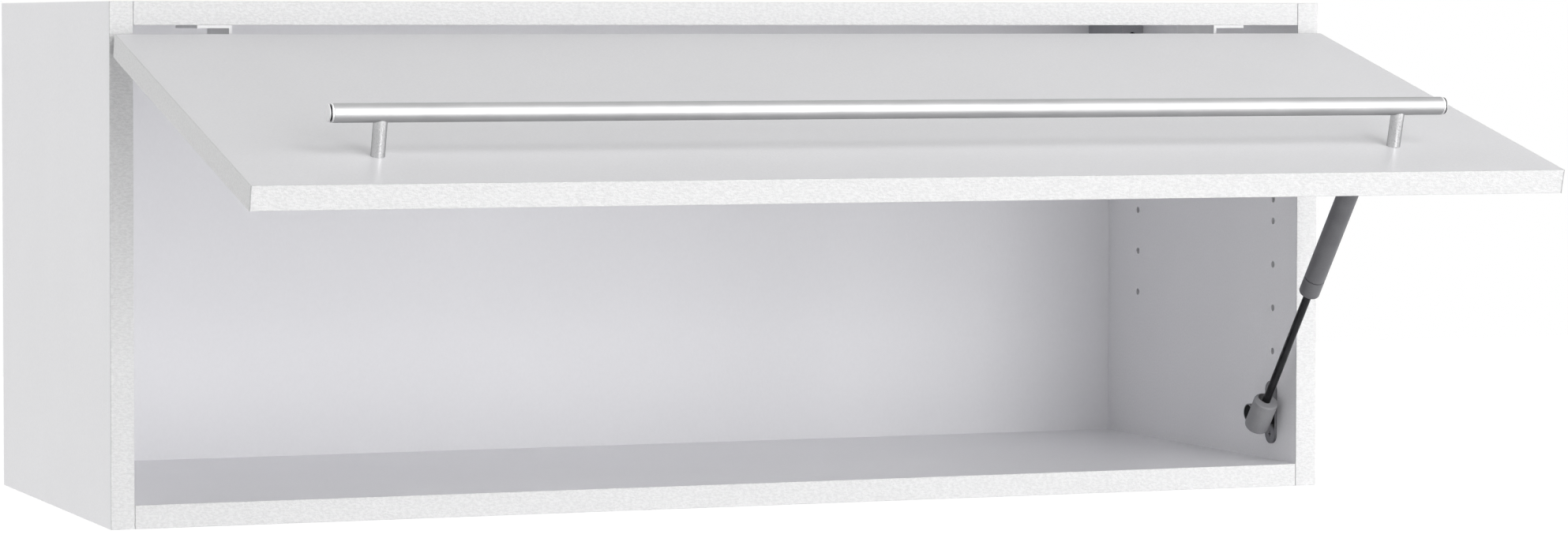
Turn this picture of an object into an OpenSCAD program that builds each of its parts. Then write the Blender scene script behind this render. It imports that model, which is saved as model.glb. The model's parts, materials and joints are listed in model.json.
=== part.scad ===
// Lift up wall cabinet: a carcass of coated boards closed by one top-hung flap.
// Two four-bar hinges under the top panel carry the flap and one gas strut holds it open, as drawn.
// Origin: wall plane, middle of the width, underside. +X right, -Y front, +Z up.

/* [Carcass] */
// Overall width of the carcass
carcass_w = 900; // [600:10:1200]
// Overall height of the carcass
carcass_h = 352; // [340:1:420]
// Depth of the carcass from the wall to its front edges
carcass_d = 330; // [300:1:400]
// Thickness of the coated boards
board_t = 16; // [15:0.5:19]
// Thickness of the edge band on the front edges and round the flap
band_t = 0.8; // [0.4:0.1:2]
// Thickness of the back panel
back_t = 3; // [2.5:0.5:5]
// Distance from the wall plane to the back panel
back_inset = 14; // [10:1:20]
// Depth of the groove that holds the back panel
groove_depth = 8; // [5:0.5:10]
// Clearance of the back panel in its groove, on each side
groove_fit = 0.1; // [0.05:0.05:0.5]

/* [Shelf holes] */
// Diameter of the shelf pin holes
shelf_hole_d = 5; // [3:0.5:6]
// Depth of the shelf pin holes
shelf_hole_depth = 11; // [8:0.5:13]
// Pitch of the holes in a row
hole_pitch = 32; // [25:1:40]
// Distance of the front hole row from the front edge
front_row = 37; // [30:1:50]
// Distance between the front and the rear hole row
row_span = 224; // [160:32:256]
// Height of the lowest shelf position
shelf_low = 128; // [100:1:150]
// Number of shelf positions
shelf_steps = 3; // [1:1:4]

/* [Flap] */
// Thickness of the flap
flap_t = 16; // [15:0.5:19]
// Reveal between the flap and the outside of the carcass, left and right
side_reveal = 1.5; // [1:0.25:4]
// Reveal between the flap and the outside of the carcass, top and bottom
edge_reveal = 1.5; // [1:0.25:3]
// Gap between the closed flap and the carcass front
front_gap = 1.5; // [1:0.25:3]
// Angle that the flap turns between closed and open
open_angle = 75.1; // [70:0.1:78]
// Height that the hinge edge comes down while the flap opens
edge_drop = 35.8; // [34:0.1:38]
// Distance that the hinge edge moves forward while the flap opens
edge_forward = 2; // [1:0.1:4]

/* [Handle] */
// Diameter of the handle bar
bar_d = 12; // [10:0.5:16]
// Length of the handle bar with its end caps
bar_l = 772; // [400:2:860]
// Wall of the handle bar tube
bar_wall = 1.2; // [0.8:0.1:2]
// Thickness of the end caps
cap_t = 3; // [2:0.5:5]
// Distance of the bar's axis from the flap's face
bar_standoff = 27.7; // [24:0.1:40]
// Diameter of the handle posts
post_d = 9; // [8:0.5:10]
// Distance between the handle posts
post_span = 704; // [320:32:704]
// Distance of the posts from the free edge of the flap
post_from_edge = 59.3; // [40:0.1:90]
// Diameter of the handle screws
handle_screw_d = 4; // [3:0.5:5]

/* [Hinges] */
// Distance of the hinge plates from the side panels
hinge_in = 66; // [60:1:90]
// Thickness of the hinge plates under the top panel
hinge_plate_t = 2; // [1.5:0.1:2.5]
// Width of the hinge plates' flange on the top panel
hinge_flange_w = 24; // [18:1:30]
// Thickness of the hinge links
link_t = 2.5; // [2:0.1:3]
// Thickness of the flap brackets
bracket_t = 2.5; // [2:0.1:3]
// Running gap between the layers of the hinge
layer_gap = 0.5; // [0.3:0.1:0.8]
// Diameter of the hinge pins
pivot_d = 5; // [4:0.5:5.5]
// Radial running clearance of a pin in its hole
pivot_fit = 0.05; // [0.02:0.01:0.1]
// Radial clearance at the short link's flap pin
short_link_play = 1.4; // [1.3:0.05:1.6]
// Long link's flap pin, distance from the hinge edge
long_pin_s = 25.3; // [24:0.1:27]
// Long link's flap pin, height off the flap's inner face
long_pin_h = 27.7; // [26:0.1:29]
// Turn of the long link for one turn of the flap
long_ratio = -0.676; // [-0.72:0.001:-0.64]
// Short link's flap pin, distance from the hinge edge
short_pin_s = 22.8; // [22:0.1:24]
// Short link's flap pin, height off the flap's inner face
short_pin_h = 12.9; // [12:0.1:14]
// Turn of the short link for one turn of the flap
short_ratio = -1.256; // [-1.3:0.001:-1.2]
// Half width of the long link
long_link_r = 5.5; // [5:0.1:6]
// Half width of the short link
short_link_r = 7.5; // [7:0.1:8]
// Margin of the hinge plate round its pins
hinge_plate_r = 9; // [8:0.5:10]

/* [Gas strut] */
// Distance of the strut's middle plane from the side panel
strut_off = 12.5; // [12:0.1:20]
// Outer diameter of the strut tube
tube_d = 15; // [14:0.5:18]
// Wall of the strut tube
tube_wall = 1.4; // [1:0.1:2]
// Length of the rod guide at the tube's open end
guide_l = 14.5; // [10:0.5:20]
// Diameter of the piston rod
rod_d = 6; // [5:0.5:8]
// Radial running clearance of the rod and of the piston
rod_fit = 0.05; // [0.02:0.01:0.1]
// Diameter of the ball studs
ball_d = 10; // [8:0.5:10]
// Height of the lower ball stud over the underside
lower_stud_z = 51; // [45:0.5:60]
// Distance of the strut's axis in front of the lower ball
socket_offset = 5.5; // [3:0.1:7]
// Upper ball stud, distance from the hinge edge
upper_stud_s = 136; // [130:0.5:150]
// Upper ball stud, height off the flap's inner face
upper_stud_h = 27; // [26:0.5:32]
// Rod length that shows below the tube when the flap is open, from the lower ball
rod_reach = 121.2; // [118:0.1:130]
// Length of the rod beyond the mouth of the tube when the flap is open
rod_inside = 21; // [19:0.5:22]
// Diameter of the cup on the rod's end
cup_d = 18; // [14:0.5:19]
// Length of the cup on the rod's end
cup_l = 26.6; // [22:0.1:28]
// Height of the cup's rim over the lower ball
cup_rise = 16.7; // [14:0.1:18]
// Diameter of the hole round the rod in the top of the cup
cup_hole_d = 9.8; // [8:0.1:10]
// Diameter of the socket barrel round each ball
barrel_d = 13.6; // [12.5:0.1:15]
// Radial clearance of a ball in its socket
ball_fit = 0.05; // [0.02:0.01:0.1]
// Thickness of the strut's wall plate
strut_plate_t = 2; // [1.5:0.1:2.2]
// Width of the strut's wall plate
strut_plate_w = 15; // [12:0.5:20]
// Distance between the screws of the strut's wall plate
strut_plate_pitch = 32; // [30:1:40]
// Gap between the upper stud's shoulder and its bracket
open_pivot_gap = 0.3; // [0.2:0.05:0.5]

/* [Wall hangers] */
// Depth of the hanger housing
hanger_l = 60; // [50:1:70]
// Width of the hanger housing
hanger_w = 18.2; // [16:0.1:22]
// Height of the hanger housing
hanger_h = 42; // [38:1:48]
// Thickness of the hook
hook_t = 3; // [2:0.25:4]
// Height adjustment of the hook, up and down
hook_travel = 5; // [2:0.5:6]
// Height of the hook's arm
hook_arm_h = 16; // [12:0.5:18]
// Length of the hook's nose below its arm
hook_nose = 12; // [8:0.5:16]
// Clearance of the hook in its guide, on each side
hook_fit = 0.3; // [0.3:0.05:0.5]
// Diameter of the height adjusting screw
adjuster_d = 6; // [5:0.5:7]

/* [Fasteners] */
// Diameter of the chipboard screws
screw_d = 4; // [3.5:0.5:4.5]
// Length of the screws in the side panels and in the flap
screw_l = 13; // [10:0.5:14]
// Diameter of the wooden dowels
dowel_d = 8; // [6:0.5:8]
// Length of the wooden dowels
dowel_l = 30; // [25:1:35]
// Diameter of the cam housings
cam_d = 15; // [12:0.5:15]
// Depth of the cam housings
cam_depth = 12.5; // [11:0.5:13]
// Distance of the cams from the panel's end
cam_from_end = 24; // [20:1:34]
// Distance of the cams from the front and from the wall plane
cam_from_edge = 55; // [50:1:70]

/* [Hidden] */
$fn = 48;
cut = 1;                // how far a cutting solid runs past a face
snug = 0.02;            // radial room of a screw or dowel in its hole
screw_head_d = 1.8 * screw_d;
screw_head_h = 0.4 * screw_d;
hole_floor = 5;         // board left behind a blind hole

coat_white = "#f1f1f3";
edge_white = "#f7f7f8";
back_white = "#e4e4ea";
satin_aluminium = "#d3d4d6";
strut_grey = "#8a8a8f";
steel_grey = "#77777b";
plate_grey = "#97979b";
near_black = "#1c1c1e";
hanger_grey = "#a2a2a8";
zinc = "#c2c4c6";
beech = "#d9b98a";

wall_x = carcass_w / 2 - board_t;                 // inner face of the right side panel
front_y = -carcass_d;                             // front plane of the carcass
row_y = front_y + front_row;                      // front hole row
back_front_y = -back_inset - back_t;              // face of the back panel in the cabinet
inner_top = carcass_h - board_t;                  // underside of the top panel
flap_h = carcass_h - 2 * edge_reveal;
flap_w = carcass_w - 2 * side_reveal;

// Points in the plane of the side panels are [y, z]; flap points are [h, -s]:
// height off the inner face and distance down from the hinge edge.
function turn(p, a) = [p[0] * cos(a) - p[1] * sin(a), p[0] * sin(a) + p[1] * cos(a)];
function quarter(p) = [-p[1], p[0]];
function closed_point(p) = [front_y - front_gap, carcass_h - edge_reveal] + p;
open_corner = closed_point([-edge_forward, -edge_drop]);
function open_point(p) = open_corner + turn(p, -open_angle);
// The fixed pin about which a link carries its flap pin from open to closed
function fixed_pin(p, ratio) =
  let (a = open_point(p), b = closed_point(p))
  (a + b) / 2 + quarter(b - a) / (2 * tan(ratio * open_angle / 2));

long_pin = [long_pin_h, -long_pin_s];
short_pin = [short_pin_h, -short_pin_s];
long_fixed = fixed_pin(long_pin, long_ratio);
short_fixed = fixed_pin(short_pin, short_ratio);

// Layers of the hinge from the plate inwards: plate, short link, lug, long link
plate_x = wall_x - hinge_in - hinge_plate_t;
short_x = plate_x - layer_gap - link_t;
lug_x = short_x - layer_gap - bracket_t;
long_x = lug_x - layer_gap - link_t;
hinge_screw_x = plate_x + hinge_plate_t + (hinge_flange_w - hinge_plate_t) / 2;
hinge_screw_rows = [short_fixed[0] + 4, long_fixed[0]];
bracket_top_s = board_t + 0.5;                    // the bracket passes under the top panel
bracket_base_l = 46;
bracket_base_w = 24;
screw_margin = 8;                                 // screw's middle to a bracket's end
bracket_screw_s = [bracket_top_s + screw_margin, bracket_top_s + bracket_base_l - screw_margin];
bracket_screw_x = lug_x - bracket_base_w / 2;
rivet_head_d = 9;
rivet_head_t = 1.5;
rivet_x = long_x - 0.3;                           // the rivet heads clear the long link

cup_gap = 0.3;                                    // cup to the stud base at least
stud_base_t = 1.2;
strut_x = wall_x - max(strut_off, cup_d / 2 + cup_gap + stud_base_t + strut_plate_t);
lower_stud = [row_y, lower_stud_z];
upper_stud = [upper_stud_h, -upper_stud_s];
// Length along the strut's axis and tilt of that axis, for an upper ball at point p
function strut_length(p) = sqrt(pow(norm(p - lower_stud), 2) - pow(socket_offset, 2));
function strut_tilt(p) =
  atan2(lower_stud[0] - p[0], p[1] - lower_stud[1]) - asin(socket_offset / norm(p - lower_stud));
open_length = strut_length(open_point(upper_stud));
open_tilt = strut_tilt(open_point(upper_stud));
closed_length = strut_length(closed_point(upper_stud));
closed_tilt = strut_tilt(closed_point(upper_stud));
strut_base = lower_stud + turn([-socket_offset, 0], open_tilt);
tube_bore = tube_d - 2 * tube_wall;
upper_neck_l = 14;                                // tube's end to the upper ball
upper_neck_d = 9;
tube_end = open_length - upper_neck_l;            // closed end of the tube
socket_t = 2;                                     // collar of the upper socket on the tube
cup_rear_wall = 0.9;                              // wall behind the hole, which lies off the rod's axis
cup_hole_back = cup_d / 2 - cup_rear_wall - cup_hole_d / 2;
mouth_d = ball_d - 1.4;                           // mouth that keeps the ball in
neck_d = 6;
barrel_in = 7.6;                                  // barrel's reach away from the side panel
barrel_out = 5.5;                                 // barrel's reach towards the side panel
plug_d = barrel_d - 1.6;                          // leaves a thin rim round the plug
plug_depth = 1.6;
rod_seat = 5.6;                                   // rod's end over the lower ball
stud_base_w = 12;
stud_base_h = 17.2;
shoulder_in = 9;                                  // ball centre to the stud's shoulder
shoulder_t = 2.5;
shoulder_d = 11;
strut_lug_x = strut_x - shoulder_in - shoulder_t - open_pivot_gap - bracket_t;
strut_bracket_w = 28;
strut_bracket_s = [upper_stud_s - 18, upper_stud_s + 18];
strut_screw_s = [strut_bracket_s[0] + screw_margin, strut_bracket_s[1] - screw_margin];
strut_screw_x = strut_lug_x - strut_bracket_w / 2;
piston_l = 5.5;
seal_t = 1.5;

post_x = post_span / 2;
post_s = flap_h - post_from_edge;
bar_y = -flap_t - bar_standoff;
handle_screw_grip = 8;

hanger_x = wall_x - hanger_w;
hanger_y = back_front_y - hanger_l;
hanger_z = inner_top - hanger_h;
hook_x = wall_x - hanger_w / 2;                   // middle plane of the hook
adjuster_z = inner_top - 8.3;
guide_top = adjuster_z - adjuster_d / 2 - 1.2;    // upper end of the hook's guide slot
hook_arm_top = guide_top - hook_travel - hook_fit;
hook_arm_low = hook_arm_top - hook_arm_h;
hook_tip_y = -4;
hook_nose_t = 3;
guide_low = hook_arm_low - hook_travel - hook_fit;
peg_d = 10;
peg_l = board_t - hole_floor;
peg_spots = [[hanger_y + 14, hanger_z + 13], [hanger_y + hanger_l - 14, hanger_z + 13]];

cam_rows = [front_y + cam_from_edge, -cam_from_edge];
dowel_rows = [front_y + cam_from_edge + hole_pitch, -cam_from_edge - hole_pitch];
bolt_d = 6;
bolt_grip = board_t - hole_floor;                 // length of a bolt in the side panel
dowel_grip = board_t - hole_floor;

strut_plate_l = strut_plate_pitch + 14;
strut_plate_spots = [for (k = [-1, 1]) lower_stud + [0, k * strut_plate_pitch / 2]];

// Values that the joints use
echo(long_fixed = long_fixed, short_fixed = short_fixed, lower_stud = lower_stud);
echo(long_flap_pin = open_point(long_pin), upper_stud = open_point(upper_stud));
echo(strut_turn = open_tilt - closed_tilt, strut_stroke = open_length - closed_length);
echo(open_tilt = open_tilt, open_length = open_length, closed_length = closed_length);

// ---- helpers ----

module on_side(side) {
  mirror([side < 0 ? 1 : 0, 0, 0]) children();
}

// Flat piece of thickness t whose outline is drawn in [y, z]
module slab(x, t) {
  translate([x, 0, 0]) rotate([90, 0, 90]) linear_extrude(t) children();
}

// Cylinder along X from x1 to x2 about the point p = [y, z]
module rod_x(x1, x2, p, d) {
  translate([x1, p[0], p[1]]) rotate([0, 90, 0]) cylinder(h = x2 - x1, d = d);
}

// Flat bar with round ends between two points, its web a little narrower than the ends
module bar(x, t, a, b, r, web = 0.97) {
  n = quarter((b - a) / norm(b - a)) * r * web;
  rod_x(x, x + t, a, 2 * r);
  rod_x(x, x + t, b, 2 * r);
  slab(x, t) polygon([a + n, b + n, b - n, a - n]);
}

// Ball with its poles on the X axis
module ball(d) {
  rotate([0, 90, 0]) sphere(d = d);
}

module box(low, high) {
  translate(low) cube(high - low);
}

// Flap pieces are drawn closed, with the hinge edge of the inner face at the origin
module on_flap() {
  translate([0, open_corner[0], open_corner[1]]) rotate([-open_angle, 0, 0]) children();
}

// Strut pieces are drawn along +Z from the point of the axis nearest to the lower ball
module on_strut() {
  translate([strut_x, strut_base[0], strut_base[1]]) rotate([open_tilt, 0, 0]) children();
}

// Countersunk cross-recess screw, head up at the origin, shank down
module screw(l) {
  difference() {
    union() {
      translate([0, 0, -screw_head_h]) cylinder(h = screw_head_h, d1 = screw_d, d2 = screw_head_d);
      translate([0, 0, -l + screw_d / 2]) cylinder(h = l - screw_d / 2 - screw_head_h, d = screw_d);
      translate([0, 0, -l]) cylinder(h = screw_d / 2, d1 = screw_d / 4, d2 = screw_d);
    }
    for (a = [0, 90]) rotate([0, 0, a])
      translate([-screw_d / 2, -screw_d / 10, -1.2]) cube([screw_d, screw_d / 5, 1.2 + cut]);
  }
}

// Room for that screw
module screw_room(l) {
  translate([0, 0, -screw_head_h - snug]) cylinder(h = screw_head_h, d1 = screw_d, d2 = screw_head_d);
  translate([0, 0, -snug]) cylinder(h = cut, d = screw_head_d + 2 * snug);
  translate([0, 0, -l - snug]) cylinder(h = l, d = screw_d + 2 * snug);
}

// Puts a screw at p = [y, z] on the inner face of a fitting of thickness t on the right side
module at_side(p, t) {
  translate([wall_x - t, p[0], p[1]]) rotate([0, -90, 0]) children();
}

// Puts a screw at x and y on a fitting of thickness t under the top panel
module at_top(x, y, t) {
  translate([x, y, inner_top - t]) rotate([180, 0, 0]) children();
}

// Puts a screw at x and distance s on a fitting of thickness t on the flap's inner face
module at_flap(x, s, t) {
  translate([x, t, -s]) rotate([-90, 0, 0]) children();
}

// ---- carcass ----

module side_panel(side) {
  color(coat_white) on_side(side) difference() {
    box([wall_x, front_y + band_t, 0], [wall_x + board_t, 0, carcass_h]);
    box([wall_x - cut, back_front_y - groove_fit, board_t - groove_depth],
        [wall_x + groove_depth, -back_inset + groove_fit, inner_top + groove_depth]);
    for (y = [row_y, row_y + row_span], k = [0 : shelf_steps - 1])
      rod_x(wall_x - cut, wall_x + shelf_hole_depth, [y, shelf_low + k * hole_pitch], shelf_hole_d);
    // Two further holes of the front row
    for (z = [shelf_low - hole_pitch, shelf_low + (shelf_steps - 0.5) * hole_pitch])
      rod_x(wall_x - cut, wall_x + shelf_hole_depth, [row_y, z], shelf_hole_d);
    for (z = [board_t / 2, carcass_h - board_t / 2]) {
      for (y = cam_rows) rod_x(wall_x - cut, wall_x + bolt_grip + snug, [y, z], bolt_d + 2 * snug);
      for (y = dowel_rows) rod_x(wall_x - cut, wall_x + dowel_grip + snug, [y, z], dowel_d + 2 * snug);
    }
    for (p = peg_spots) rod_x(wall_x - cut, wall_x + peg_l + snug, p, peg_d + 2 * snug);
    if (side > 0)
      for (p = strut_plate_spots) at_side(p, strut_plate_t) screw_room(screw_l);
  }
}
module side_panel_left() { side_panel(-1); }
module side_panel_right() { side_panel(1); }

// Panel between the sides; its cams are let in from the face at cam_face
module deck(low, cam_face) {
  mid = low + board_t / 2;
  color(coat_white) difference() {
    box([-wall_x, front_y + band_t, low], [wall_x, 0, low + board_t]);
    box([-wall_x - cut, back_front_y - groove_fit, cam_face == low ? low + board_t - groove_depth : low - cut],
        [wall_x + cut, -back_inset + groove_fit, cam_face == low ? low + board_t + cut : low + groove_depth]);
    for (side = [-1, 1]) on_side(side) {
      for (y = cam_rows) {
        rod_x(wall_x - cam_from_end, wall_x + cut, [y, mid], bolt_d + 2 * snug);
        translate([wall_x - cam_from_end, y, cam_face == low ? low - cut : low + board_t - cam_depth - snug])
          cylinder(h = cam_depth + snug + cut, d = cam_d + 2 * snug);
      }
      for (y = dowel_rows)
        rod_x(wall_x - dowel_l + dowel_grip - snug, wall_x + cut, [y, mid], dowel_d + 2 * snug);
    }
  }
}
module top_panel() {
  color(coat_white) difference() {
    deck(inner_top, carcass_h);
    for (side = [-1, 1], y = hinge_screw_rows)
      on_side(side) at_top(hinge_screw_x, y, hinge_plate_t) screw_room(screw_l);
  }
}
module bottom_panel() { deck(0, 0); }

module back_panel() {
  reach = groove_depth - 0.5;
  color(back_white) difference() {
    box([-wall_x - reach, back_front_y, board_t - reach],
        [wall_x + reach, -back_inset, inner_top + reach]);
    for (side = [-1, 1]) on_side(side)
      box([hook_x - hook_t, back_front_y - cut, guide_low - 1],
          [hook_x + hook_t, -back_inset + cut, guide_top + 1]);
  }
}

module carcass_edge_bands() {
  color(edge_white) {
    for (side = [-1, 1]) on_side(side)
      box([wall_x, front_y, 0], [wall_x + board_t, front_y + band_t, carcass_h]);
    for (z = [0, inner_top])
      box([-wall_x, front_y, z], [wall_x, front_y + band_t, z + board_t]);
  }
}

module dowels() {
  color(beech) for (side = [-1, 1], y = dowel_rows, z = [board_t / 2, carcass_h - board_t / 2])
    on_side(side) rod_x(wall_x - dowel_l + dowel_grip, wall_x + dowel_grip, [y, z], dowel_d);
}

module cam_housings() {
  slot_w = 1.6;
  slot_l = 9;
  slot_depth = 1.5;
  color(zinc) for (side = [-1, 1], y = cam_rows, top = [0, 1])
    on_side(side) translate([wall_x - cam_from_end, y, top ? carcass_h : 0])
      mirror([0, 0, top]) difference() {
        cylinder(h = cam_depth, d = cam_d);
        for (a = [0, 90]) rotate([0, 0, a])
          translate([-slot_l / 2, -slot_w / 2, -cut]) cube([slot_l, slot_w, slot_depth + cut]);
        rod_x(-bolt_d, cam_d, [0, board_t / 2], bolt_d + 2 * snug);
      }
}

module cam_bolts() {
  head_l = 3;
  neck = 3.5;
  color(zinc) for (side = [-1, 1], y = cam_rows, z = [board_t / 2, carcass_h - board_t / 2])
    on_side(side) {
      rod_x(wall_x - cam_from_end + 1, wall_x - cam_from_end + 1 + head_l, [y, z], bolt_d);
      rod_x(wall_x - cam_from_end + 1, wall_x, [y, z], neck);
      rod_x(wall_x - cam_from_end + cam_d / 2 + 1, wall_x + bolt_grip, [y, z], bolt_d);
    }
}

// ---- wall hangers ----

module hanger_housing(side) {
  edge = 2;
  wall = 5;
  color(hanger_grey) on_side(side) difference() {
    union() {
      box([hanger_x, hanger_y, hanger_z], [wall_x, back_front_y, inner_top]);
      for (p = peg_spots) rod_x(wall_x - cut, wall_x + peg_l, p, peg_d);
    }
    // guide slot of the hook, open to the rear
    box([hook_x - hook_t / 2 - hook_fit, hanger_y + wall, guide_low],
        [hook_x + hook_t / 2 + hook_fit, back_front_y + cut, guide_top]);
    // bore of the height screw
    translate([hook_x, hanger_y - cut, adjuster_z]) rotate([-90, 0, 0])
      cylinder(h = hanger_l / 2 + cut, d = adjuster_d + 2 * snug);
    // chamfered lower edge towards the room
    translate([hanger_x, hanger_y - cut, hanger_z]) rotate([-90, 0, 0])
      rotate([0, 0, 45]) cube([edge, edge, 2 * hanger_l + 2 * cut], center = true);
  }
}
module hanger_housing_left() { hanger_housing(-1); }
module hanger_housing_right() { hanger_housing(1); }

module hanger_hook(side) {
  start = hanger_y + 8;
  bevel = 5 / sqrt(2);
  color(zinc) on_side(side) slab(hook_x - hook_t / 2, hook_t) difference() {
    union() {
      translate([start, hook_arm_low]) square([hook_tip_y - start, hook_arm_h]);
      translate([hook_tip_y - hook_nose_t, hook_arm_low - hook_nose])
        square([hook_nose_t, hook_nose + hook_arm_h / 2]);
    }
    translate([hook_tip_y, hook_arm_low + hook_arm_h])
      polygon([[cut, cut], [-bevel, cut], [-bevel, 0], [0, -bevel], [cut, -bevel]]);
  }
}
module hanger_hook_left() { hanger_hook(-1); }
module hanger_hook_right() { hanger_hook(1); }

module hanger_height_screws() {
  sunk = 1.5;
  recess = 1.2;
  color(steel_grey) for (side = [-1, 1]) on_side(side)
    translate([hook_x, hanger_y + sunk, adjuster_z]) rotate([-90, 0, 0]) difference() {
      cylinder(h = hanger_l / 2 - sunk, d = adjuster_d);
      for (a = [0, 90]) rotate([0, 0, a])
        translate([-adjuster_d / 3, -recess / 2, -cut]) cube([adjuster_d / 1.5, recess, cut + 2]);
    }
}

// ---- hinges ----

// Angle plate that carries the two fixed pins, its flange screwed under the top panel
module hinge_plate(side) {
  front = short_fixed[0] - 0.97 * hinge_plate_r;
  rear = long_fixed[0] + 0.97 * hinge_plate_r;
  color(coat_white) on_side(side) difference() {
    union() {
      bar(plate_x, hinge_plate_t, long_fixed, short_fixed, hinge_plate_r);
      slab(plate_x, hinge_plate_t)
        polygon([[front, short_fixed[1]], [front, inner_top], [rear, inner_top], [rear, long_fixed[1]],
                 long_fixed, short_fixed]);
      box([plate_x, front, inner_top - hinge_plate_t], [plate_x + hinge_flange_w, rear, inner_top]);
    }
    for (p = [long_fixed, short_fixed])
      rod_x(plate_x - cut, plate_x + hinge_plate_t + cut, p, pivot_d + 2 * snug);
    for (y = hinge_screw_rows) at_top(hinge_screw_x, y, hinge_plate_t) screw_room(screw_l);
  }
}
module hinge_plate_left() { hinge_plate(-1); }
module hinge_plate_right() { hinge_plate(1); }

module hinge_plate_screws() {
  color(steel_grey) for (side = [-1, 1], y = hinge_screw_rows)
    on_side(side) at_top(hinge_screw_x, y, hinge_plate_t) screw(screw_l);
}

// Shank from x on to the face at x2, with a head on its inner end
module rivet(x, x2, p) {
  rod_x(x - rivet_head_t, x2, p, pivot_d);
  rod_x(x - rivet_head_t, x, p, rivet_head_d);
}

module plate_pivot_pins() {
  color(steel_grey) for (side = [-1, 1]) on_side(side) {
    rivet(rivet_x, plate_x + hinge_plate_t, long_fixed);
    rod_x(short_x, plate_x + hinge_plate_t, short_fixed, pivot_d);
  }
}

module link(side, x, fixed_end, flap_end, r, flap_hole_d) {
  color(steel_grey) on_side(side) difference() {
    bar(x, link_t, fixed_end, flap_end, r, 0.9);
    rod_x(x - cut, x + link_t + cut, fixed_end, pivot_d + 2 * pivot_fit);
    rod_x(x - cut, x + link_t + cut, flap_end, flap_hole_d);
  }
}
module long_link(side) {
  link(side, long_x, long_fixed, open_point(long_pin), long_link_r, pivot_d + 2 * pivot_fit);
}
module short_link(side) {
  link(side, short_x, short_fixed, open_point(short_pin), short_link_r, pivot_d + 2 * short_link_play);
}
module long_link_left() { long_link(-1); }
module long_link_right() { long_link(1); }
module short_link_left() { short_link(-1); }
module short_link_right() { short_link(1); }

module flap_bracket(side) {
  lug_r = 6.5;
  color(zinc) on_flap() on_side(side) difference() {
    union() {
      bar(lug_x, bracket_t, long_pin, short_pin, lug_r);
      slab(lug_x, bracket_t)
        polygon([[0, -bracket_top_s], short_pin + [0, lug_r / 2], long_pin + [lug_r / 2, 0],
                 [0, -bracket_top_s - bracket_base_l]]);
      box([lug_x - bracket_base_w, 0, -bracket_top_s - bracket_base_l],
          [lug_x + bracket_t, bracket_t, -bracket_top_s]);
    }
    for (p = [long_pin, short_pin]) rod_x(lug_x - cut, lug_x + bracket_t + cut, p, pivot_d + 2 * snug);
    for (s = bracket_screw_s) at_flap(bracket_screw_x, s, bracket_t) screw_room(screw_l);
  }
}
module flap_bracket_left() { flap_bracket(-1); }
module flap_bracket_right() { flap_bracket(1); }

module flap_bracket_screws() {
  color(steel_grey) on_flap() for (side = [-1, 1], s = bracket_screw_s)
    on_side(side) at_flap(bracket_screw_x, s, bracket_t) screw(screw_l);
}

module flap_pivot_pins() {
  color(steel_grey) on_flap() for (side = [-1, 1]) on_side(side) {
    rivet(rivet_x, lug_x + bracket_t, long_pin);
    rod_x(lug_x, short_x + link_t, short_pin, pivot_d);
  }
}

// ---- flap and handle ----

module flap_panel() {
  color(coat_white) on_flap() difference() {
    box([-flap_w / 2 + band_t, -flap_t, -flap_h + band_t], [flap_w / 2 - band_t, 0, -band_t]);
    for (side = [-1, 1]) on_side(side) {
      translate([post_x, -flap_t - cut, -post_s]) rotate([-90, 0, 0])
        cylinder(h = flap_t + 2 * cut, d = handle_screw_d + 2 * snug);
      for (s = bracket_screw_s) at_flap(bracket_screw_x, s, bracket_t) screw_room(screw_l);
    }
    for (s = strut_screw_s)
      at_flap(strut_screw_x, s, bracket_t) screw_room(screw_l);
  }
}

module flap_edge_bands() {
  color(edge_white) on_flap() {
    for (side = [-1, 1]) on_side(side)
      box([flap_w / 2 - band_t, -flap_t, -flap_h], [flap_w / 2, 0, 0]);
    for (z = [-flap_h, -band_t])
      box([-flap_w / 2 + band_t, -flap_t, z], [flap_w / 2 - band_t, 0, z + band_t]);
  }
}

module handle_bar() {
  color(satin_aluminium) on_flap() difference() {
    rod_x(-bar_l / 2 + cap_t, bar_l / 2 - cap_t, [bar_y, -post_s], bar_d);
    rod_x(-bar_l / 2, bar_l / 2, [bar_y, -post_s], bar_d - 2 * bar_wall);
  }
}

module handle_end_caps() {
  edge = 0.8;
  spigot = 8;
  color(satin_aluminium) on_flap() for (side = [-1, 1]) on_side(side)
    translate([bar_l / 2, bar_y, -post_s]) rotate([0, -90, 0]) {
      cylinder(h = edge, d1 = bar_d - 2 * edge, d2 = bar_d);
      translate([0, 0, edge]) cylinder(h = cap_t - edge, d = bar_d);
      translate([0, 0, cap_t]) cylinder(h = spigot, d = bar_d - 2 * bar_wall - 2 * snug);
    }
}

module handle_posts() {
  color(satin_aluminium) on_flap() for (side = [-1, 1]) on_side(side) difference() {
    translate([post_x, -flap_t, -post_s]) rotate([90, 0, 0]) cylinder(h = bar_standoff, d = post_d);
    rod_x(post_x - post_d, post_x + post_d, [bar_y, -post_s], bar_d);
    translate([post_x, -flap_t + cut, -post_s]) rotate([90, 0, 0])
      cylinder(h = handle_screw_grip + cut + snug, d = handle_screw_d + 2 * snug);
  }
}

module handle_screws() {
  head_d = 2 * handle_screw_d;
  head_h = 2.2;
  recess = 1;
  color(steel_grey) on_flap() for (side = [-1, 1]) on_side(side)
    translate([post_x, 0, -post_s]) rotate([90, 0, 0]) difference() {
      union() {
        cylinder(h = flap_t + handle_screw_grip, d = handle_screw_d);
        translate([0, 0, -head_h]) cylinder(h = head_h, d1 = 0.8 * head_d, d2 = head_d);
      }
      for (a = [0, 90]) rotate([0, 0, a])
        translate([-head_d / 4, -recess / 2, -head_h - cut]) cube([head_d / 2, recess, cut + 1.2]);
    }
}

// ---- gas strut ----

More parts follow.
